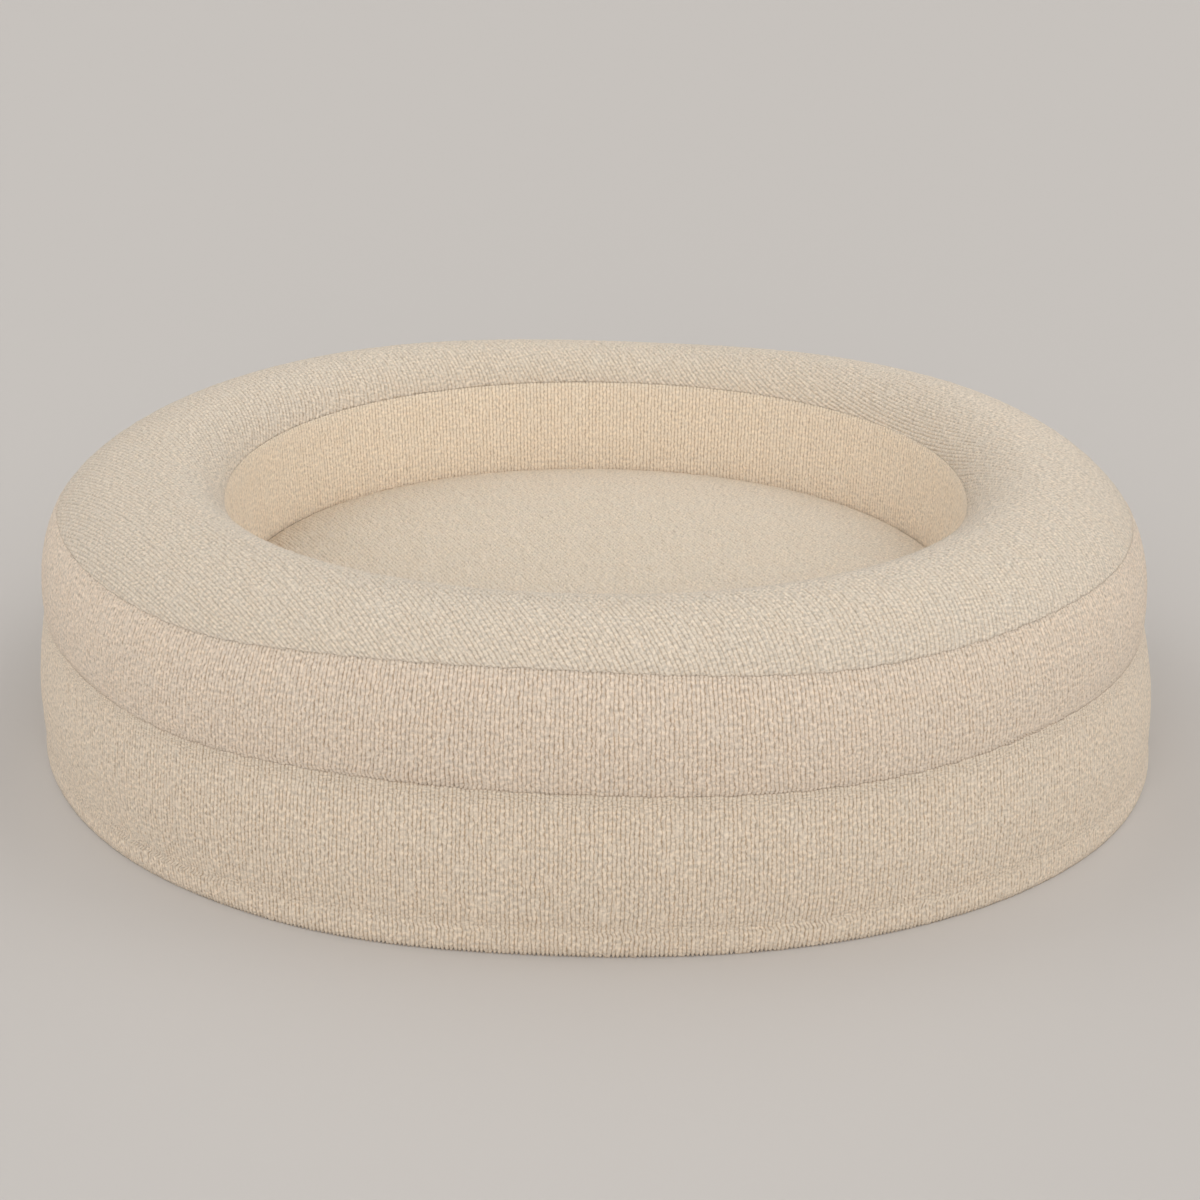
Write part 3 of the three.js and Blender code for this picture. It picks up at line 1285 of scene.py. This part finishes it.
class CrownChart:
    """How the flat cut of the top panel lies over the crown."""

    def __init__(self, bed: Bed) -> None:
        """Measures the crown's arc all around the bed.

        Args:
            bed: The bed's sizes and surfaces.
        """
        self.bed = bed
        self.turns = np.linspace(0, FULL_TURN, CHART_TURNS)
        self.sweeps = np.linspace(0, 2, CHART_SWEEPS)
        turn, sweep = np.meshgrid(self.turns, self.sweeps, indexing="ij")
        points = bed.crown_arc(turn, sweep)
        steps = np.linalg.norm(np.diff(points, axis=1), axis=2)
        arc = np.concatenate([np.zeros((CHART_TURNS, 1)), np.cumsum(steps, axis=1)], axis=1)
        self.length = arc[:, -1]
        even = np.linspace(0, 1, CHART_SWEEPS)
        self.chart = np.stack([np.interp(even * row[-1], row, self.sweeps) for row in arc])

    def arc_length(self, turn: Array) -> Array:
        """The whole arc from seam to seam."""
        return np.interp(turn % FULL_TURN, self.turns, self.length)

    def sweep_at(self, turn: Array, share: Array) -> Array:
        """Reads the chart.

        Args:
            turn: The turns.
            share: Shares of the arc from the inner seam.

        Returns:
            The sweeps there.
        """
        over = (turn % FULL_TURN) / FULL_TURN * (len(self.turns) - 1)
        left = np.clip(np.floor(over).astype(int), 0, len(self.turns) - 2)
        down = np.clip(share, 0, 1) * (self.chart.shape[1] - 1)
        top = np.clip(np.floor(down).astype(int), 0, self.chart.shape[1] - 2)
        return between(self.chart, left, top, over - left, down - top)

    def surface(self, turn: Array, share: Array) -> Array:
        """Points from turns and shares of the arc."""
        return self.bed.crown_arc(turn, self.sweep_at(turn, share))

    def place(self, flat: Array) -> tuple[Array, Array, Array]:
        """Where points of the flat cut lie.

        Args:
            flat: Points of the cut, around the well's outline.

        Returns:
            Their turns, their shares of the arc, and how far inside the nearer seam they are.
        """
        turn, out = self.bed.well.nearest(flat)
        whole = self.arc_length(turn)
        beyond = np.minimum(out, whole - out)
        return turn, np.clip(out / whole, 0, 1), beyond


@dataclass
class BolsterRing:
    """The stuffed ring: its upper band, its top panel over the crown, and the wall of the well."""

    bed: Bed
    cords: Cords
    finish: BoucleFinish
    # A copy of the cloth with a slightly darker crest: painted shade that tones down the light on the
    # upturned crown.
    shaded_top_finish: BoucleFinish
    # A lighter, warmer copy of the cloth: painted light from the warm light bouncing around inside the well.
    lit_wall_finish: BoucleFinish
    calm_cords: Cords = Cords(bead=0.00016, wave=0.00016, nub_share=0.05)
    upper_cords: int = 828
    wall_cords: int = 567
    upper_rows: int = 34
    wall_rows: int = 42
    upper_filling: tuple[float, float, int] = (0, 1, 10)
    top_filling: tuple[float, float, int] = (1, 0, 17)
    wall_filling: tuple[float, float, int] = (0.02, 1, 10)
    fill: float = 0.9
    upper_height: float = 0.079
    wall_height: float = 0.084
    top_slant: float = math.radians(29)
    top_skew: float = 1.8
    skew_reach: float = 0.33
    top_step: float = 0.0032
    top_reach: float = 0.455
    allowance: float = 0.007
    tuck_inset: float = 0.034
    tuck_drop: float = 0.0085
    back_inset: float = 0.052
    back_top: float = 0.19
    back_rise: float = 0.004
    foot_inset: float = 0.028
    foot_rise: float = 0.0008
    wall_back: Table = ((-0.004, 0.1245), (-0.024, 0.126), (-0.024, 0.202), (-0.005, 0.2065))

    def settle(self, chart: CrownChart) -> list[Pucker]:
        """Fills the ring.

        Args:
            chart: How the top panel lies over the crown.

        Returns:
            How far the upper band, the top panel and the inner wall are pushed.
        """
        bed = self.bed
        panels = [
            Panel(bed.upper_side, np.linspace(*self.upper_filling), False),
            Panel(chart.surface, np.linspace(*self.top_filling), True),
            Panel(bed.wall_side, np.linspace(*self.wall_filling), False),
        ]
        puckers = Stuffing("ring_filling", columns=192, seed=23).settle(panels, [])
        for pucker in puckers:
            if pucker.rows[0] > pucker.rows[-1]:
                pucker.rows, pucker.lift = pucker.rows[::-1], pucker.lift[::-1]
        return puckers

    def build(self) -> list[bpy.types.Object]:
        """Makes the three panels.

        Returns:
            The pieces.
        """
        bed = self.bed
        material = self.finish.material()
        chart = CrownChart(bed)
        upper_pucker, top_pucker, wall_pucker = self.settle(chart)
        upper_back: list[Surface] = [
            lambda turn, row: bed.rim.set_in(turn, self.tuck_inset, bed.top_seam_at(turn) - self.tuck_drop),
            bed.rim.level(self.back_inset, self.back_top),
            bed.rim.level(self.back_inset, bed.mid_seam + self.back_rise),
            lambda turn, row: bed.rim.set_in(turn, self.foot_inset, bed.mid_seam_at(turn) + self.foot_rise),
        ]
        crowds = [(0.0, 0.05, 2.0), (1.0, 0.05, 2.0)]
        upper = Band(
            name="upper_band", cords=self.cords, outline=bed.rim, count=self.upper_cords,
            surface=bed.upper_side, places=crowded(self.upper_rows, crowds), back=upper_back, seed=211,
            pucker=upper_pucker, seams=[Seam(0.0), Seam(1.0)], height=self.upper_height,
            lean=0.0016, lean_place=-0.02, gather=0.008)
        wall = Band(
            name="inner_wall", cords=self.calm_cords, outline=bed.well, count=self.wall_cords,
            surface=bed.wall_side, places=crowded(self.wall_rows, crowds),
            back=[bed.well.level(*row) for row in self.wall_back], seed=307, pucker=wall_pucker,
            seams=[Seam(0.0), Seam(1.0, reach=0.0020)], height=self.wall_height)
        top = BiasPanel(
            name="top_panel", cords=self.calm_cords, slant=self.top_slant, reach=self.top_reach,
            step=self.top_step, seed=401, place=chart.place, surface=chart.surface, flip=True,
            pucker=top_pucker, tuck=0.0001, tuck_reach=0.0014, skew=self.top_skew,
            skew_reach=self.skew_reach, end_calm=0.75)
        shaded_top_material = self.shaded_top_finish.material()
        # The wall's material is the lighter, warmer copy: painted bounce light in the well.
        lit_wall_material = self.lit_wall_finish.material()
        return [
            dress(upper.build(), material, ["bolster_ring"]),
            dress(top.build(self.close_top), shaded_top_material, ["bolster_ring"]),
            dress(wall.build(), lit_wall_material, ["bolster_ring"]),
        ]

    def close_top(self, bm: bmesh.types.BMesh) -> None:
        """Turns the top panel's seam edges into the ring and closes it between them.

        Args:
            bm: The trimmed cloth.
        """
        turned = turned_edge(bm)
        flat = np.array([vert.co.xy for vert in turned])
        turn, out = self.bed.well.nearest(flat)
        inner = out < self.allowance * 2
        side = np.where(inner, self.allowance, -self.allowance)[:, None]
        flat = flat + self.bed.well.outward(turn) * side
        for vert, place, low in zip(turned, flat, inner):
            vert.co = (*place, vert.co.z - (0.0 if low else self.allowance))
        close_under(bm)


@dataclass
class SeatPad:
    """The crowned pad that fills the floor of the well."""

    bed: Bed
    cords: Cords
    finish: BoucleFinish
    slant: float = math.radians(29)
    step: float = 0.00252
    reach: float = 0.294
    fill: float = 0.8
    foot_inset: float = 0.006
    hidden_inset: float = 0.2
    held_rows: tuple[float, ...] = (0, 0.02, 0.05, 0.09, 0.14, 0.2, 0.28, 0.38, 0.5, 0.64, 0.8, 0.97)

    def settle(self) -> Pucker:
        """Fills the pad.

        Returns:
            How far the seat is pushed.
        """
        panel = Panel(self.bed.seat_top, np.array(self.held_rows), False)
        back = [self.bed.well.level(self.hidden_inset, self.bed.seat_foot)]
        return Stuffing("seat_filling", columns=160, seed=31).settle([panel], back)[0]

    def place(self, flat: Array) -> tuple[Array, Array, Array]:
        """Where points of the flat cut lie on the seat.

        Args:
            flat: Points of the cut, around the well's middle.

        Returns:
            Their turns, their shares of the way in from the crease, and how far inside it they are.
        """
        bed = self.bed
        crease = Oval(
            bed.well.length - 2 * bed.crease_inset, bed.well.width - 2 * bed.crease_inset, bed.well.power)
        power = crease.power
        half = np.array([crease.length, crease.width]) / 2
        share = (np.abs(flat) / half) ** power
        radius = share.sum(-1) ** (1 / power)
        turn = np.arctan2(bent(flat[..., 1] / half[1], power / 2), bent(flat[..., 0] / half[0], power / 2))
        beyond = (1 - radius) * np.linalg.norm(flat, axis=-1) / np.maximum(radius, 1e-6)
        return turn, np.clip(1 - radius, 0, 1), beyond

    def build(self) -> list[bpy.types.Object]:
        """Makes the seat's panel.

        Returns:
            The piece, in a list.
        """
        material = self.finish.material()
        panel = BiasPanel(
            name="seat_panel", cords=self.cords, slant=self.slant, reach=self.reach, step=self.step,
            seed=503, place=self.place, surface=self.seat_surface, flip=False, pucker=self.settle(),
            tuck=0.0003, tuck_reach=0.003)
        return [dress(panel.build(self.close_seat), material, ["seat_pad"])]

    def seat_surface(self, turn: Array, across: Array) -> Array:
        """The seat's points, also a little past its middle."""
        return self.bed.seat_top(turn, np.clip(across, 0, 1))

    def close_seat(self, bm: bmesh.types.BMesh) -> None:
        """Turns the seat's edge under and closes its flat underside.

        Args:
            bm: The trimmed cloth.
        """
        for vert in turned_edge(bm):
            flat = vert.co.xy
            flat = flat * (1 - self.foot_inset / flat.length)
            vert.co = (flat.x, flat.y, self.bed.seat_foot)
        close_under(bm)


@dataclass(frozen=True)
class LightPanel:
    """One large soft light, by the direction that it comes from."""

    come_from: Triple
    strength: float


@dataclass
class Studio:
    """The plain pale floor, the soft lights and the camera at the picture's angle."""

    eye: Triple = (0.1267, -1.9509, 0.9374)
    aim: Triple = (0.0040, 0.0003, 0.1104)
    roll: float = 0.0055
    lens: float = 78.6
    sensor: float = 36.0
    sight: float = 200.0
    floor_reach: float = 60.0
    floor_colour: Colour = srgb(201, 196, 191)
    room_strength: float = 0.02
    wall_colour: Colour = srgb(198, 193, 187)
    spread: float = math.radians(60)
    panels: tuple[LightPanel, ...] = (
        LightPanel(come_from=(0.0, -1.0, 0.62), strength=1.86),
        LightPanel(come_from=(-1.0, -0.3, 0.8), strength=0.62),
        LightPanel(come_from=(1.0, -0.3, 0.8), strength=0.85),
        LightPanel(come_from=(-0.8, 0.6, 0.9), strength=0.83),
        LightPanel(come_from=(0.8, 0.6, 0.9), strength=0.86),
    )

    def camera(self) -> None:
        """Places the camera and makes it the scene's own."""
        data = bpy.data.cameras.new("camera")
        data.lens = self.lens
        data.sensor_width = self.sensor
        data.sensor_fit = "HORIZONTAL"
        data.clip_end = self.sight
        camera = bpy.data.objects.new("camera", data)
        look = (Vector(self.aim) - Vector(self.eye)).to_track_quat("-Z", "Y").to_matrix().to_4x4()
        camera.matrix_world = (
            Matrix.Translation(self.eye) @ look @ Matrix.Rotation(self.roll, 4, "Z"))
        bpy.context.scene.collection.objects.link(camera)
        bpy.context.scene.camera = camera

    def floor(self) -> None:
        """Lays the floor."""
        bm = bmesh.new()
        bmesh.ops.create_grid(bm, x_segments=1, y_segments=1, size=self.floor_reach)
        mesh = bpy.data.meshes.new("floor")
        bm.to_mesh(mesh)
        bm.free()
        floor = bpy.data.objects.new("floor", mesh)
        bpy.context.scene.collection.objects.link(floor)
        material = bpy.data.materials.new("pale_floor")
        material.use_nodes = True
        ground = Nodes(material.node_tree)
        ground.fill(ground.tree.nodes["Principled BSDF"], {
            "Base Color": (*self.floor_colour, 1.0),
            "Roughness": 1.0,
            "Specular IOR Level": 0.0,
        })
        mesh.materials.append(material)

    def lights(self) -> None:
        """Sets the soft light of the room and its lamps."""
        world = bpy.data.worlds.new("room")
        world.use_nodes = True
        room = Nodes(world.node_tree)
        background = room.tree.nodes["Background"]
        room.fill(background, {"Color": (1.0, 1.0, 1.0, 1.0), "Strength": self.room_strength})
        far_wall = room.add("Background", {"Color": (*self.wall_colour, 1.0)})
        seen = room.add("LightPath", {}).outputs["Is Camera Ray"]
        either = room.add("MixShader", {0: seen, 1: background.outputs[0], 2: far_wall.outputs[0]})
        room.fill(room.tree.nodes["World Output"], {"Surface": either.outputs[0]})
        bpy.context.scene.world = world
        for number, panel in enumerate(self.panels):
            data = bpy.data.lights.new(f"soft_panel_{number}", "SUN")
            data.energy = panel.strength
            data.angle = self.spread
            lamp = bpy.data.objects.new(f"soft_panel_{number}", data)
            lamp.matrix_world = Vector(panel.come_from).to_track_quat("Z", "Y").to_matrix().to_4x4()
            bpy.context.scene.collection.objects.link(lamp)

    def build(self) -> None:
        """Sets up the whole studio."""
        self.camera()
        self.floor()
        self.lights()
        bpy.context.scene.view_settings.view_transform = "Standard"


def main() -> None:
    """Builds the studio and the bed."""
    logging.basicConfig(level=logging.INFO, format="%(name)s %(message)s")
    Studio().build()
    bed = Bed()
    cords = Cords()
    # Each gap colour below is partly the yarn's own deeper tone and partly painted shade in the gaps between
    # cords.
    band_cloth = BoucleFinish("band_boucle", crest=srgb(226, 211, 192), gap=srgb(172, 142, 109))
    ring_cloth = BoucleFinish("ring_boucle", crest=srgb(226, 210, 192), gap=srgb(172, 143, 112))
    # The top panel's crest is a shade darker than the bands': painted shade for the strong light on the
    # crown. Its gap colour is paler and its gap shade weaker.
    shaded_top_cloth = BoucleFinish(
        "top_boucle_painted_shade", crest=srgb(223, 210, 193), gap=srgb(183, 159, 132), gap_shade_strength=0.8)
    # The wall's crest is lighter and warmer than the bands': painted light from the warm light bouncing
    # inside the well.
    lit_wall_cloth = BoucleFinish("wall_boucle_painted_bounce", crest=srgb(241, 226, 205), gap=srgb(182, 155, 127), mottle=0.14)
    # The seat's crest is a shade lighter than the bands' and its gaps paler and weaker: painted light, toned
    # to the light that falls on the seat.
    seat_cloth = BoucleFinish(
        "seat_boucle_painted_light", crest=srgb(228, 214, 195), gap=srgb(190, 167, 142), gap_shade_strength=0.65, mottle=0.14)
    pieces = BaseCushion(bed, cords, band_cloth).build()
    pieces += BolsterRing(bed, cords, ring_cloth, shaded_top_cloth, lit_wall_cloth).build()
    pieces += SeatPad(bed, cords, seat_cloth).build()
    log.info("pieces: %s", ", ".join(piece.name for piece in pieces))


if __name__ == "__main__":
    main()
